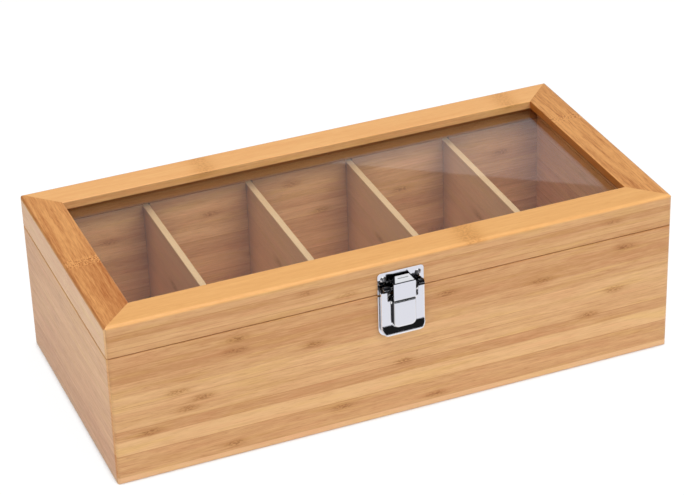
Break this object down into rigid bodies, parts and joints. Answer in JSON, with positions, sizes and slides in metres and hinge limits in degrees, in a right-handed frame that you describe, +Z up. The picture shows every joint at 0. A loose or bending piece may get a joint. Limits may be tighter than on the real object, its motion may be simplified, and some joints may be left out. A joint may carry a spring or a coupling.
{
  "type": "tea bag organizer box",
  "caption": "Bamboo tea bag organizer box with a hinged glass-topped lid, upright dividers and a toggle latch on the front.",
  "frame": {"origin": "centre of the box's bottom face", "axes": "+X to the right along the front, +Y from the latch to the hinges, +Z up"},
  "size_m": [0.335, 0.1716, 0.0995],
  "materials": {
    "bamboo_wall": "horizontal bamboo strips, clear satin lacquer",
    "bamboo_end_wall": "horizontal bamboo strips, paler and pinker, clear satin lacquer",
    "bamboo_bottom": "plain pale bamboo board, clear satin lacquer",
    "bamboo_divider": "pale bamboo with horizontal grain, clear matt lacquer",
    "bamboo_long_rail": "fine grain along the rail, clear satin lacquer",
    "bamboo_short_rail": "fibrous darker strips with flecks and a node band, clear satin lacquer",
    "pane_glass": "clear float glass",
    "latch_chrome": "polished chrome plating on pressed steel",
    "screw_chrome": "chrome plated cross-recess screws",
    "hinge_nickel": "nickel plated pressed steel",
    "pin_steel": "plain steel pins",
    "screw_steel": "nickel plated countersunk screws"
  },
  "bodies": {
    "box": {"front_wall": "bamboo_wall", "back_wall": "bamboo_wall", "left_wall": "bamboo_end_wall", "right_wall": "bamboo_end_wall", "bottom_board": "bamboo_bottom", "divider_1": "bamboo_divider", "divider_2": "bamboo_divider", "divider_3": "bamboo_divider", "divider_4": "bamboo_divider", "latch_base": "latch_chrome", "latch_base_screws": "screw_chrome", "lever_pin": "pin_steel", "hinge_left_body_leaf": "hinge_nickel", "hinge_left_pin": "pin_steel", "hinge_right_body_leaf": "hinge_nickel", "hinge_right_pin": "pin_steel", "hinge_body_screws": "screw_steel"},
    "lid": {"lid_front_rail": "bamboo_long_rail", "lid_back_rail": "bamboo_long_rail", "lid_left_rail": "bamboo_short_rail", "lid_right_rail": "bamboo_short_rail", "glass_pane": "pane_glass", "keeper_plate": "latch_chrome", "keeper_screws": "screw_chrome", "hinge_left_lid_leaf": "hinge_nickel", "hinge_right_lid_leaf": "hinge_nickel", "hinge_lid_screws": "screw_steel"},
    "lever": {"latch_lever": "latch_chrome", "claw_pin": "pin_steel"},
    "claw": {"latch_claw": "latch_chrome"}
  },
  "joints": [
    {"name": "lid_hinge", "type": "hinge", "parent": "box", "child": "lid", "pos_m": [0, 0.082, 0.08007], "axis": [-1, 0, 0], "range_deg": [0, 100]},
    {"name": "lever_turn", "type": "hinge", "parent": "box", "child": "lever", "pos_m": [0, -0.0842, 0.085], "axis": [-1, 0, 0], "range_deg": [0, 90]},
    {"name": "claw_turn", "type": "hinge", "parent": "lever", "child": "claw", "pos_m": [0, -0.0841, 0.0796], "axis": [-1, 0, 0], "range_deg": [-90, 0]}
  ],
  "couplings": [
    {"joint": "claw_turn", "follows": "lever_turn", "ratio": -1}
  ]
}
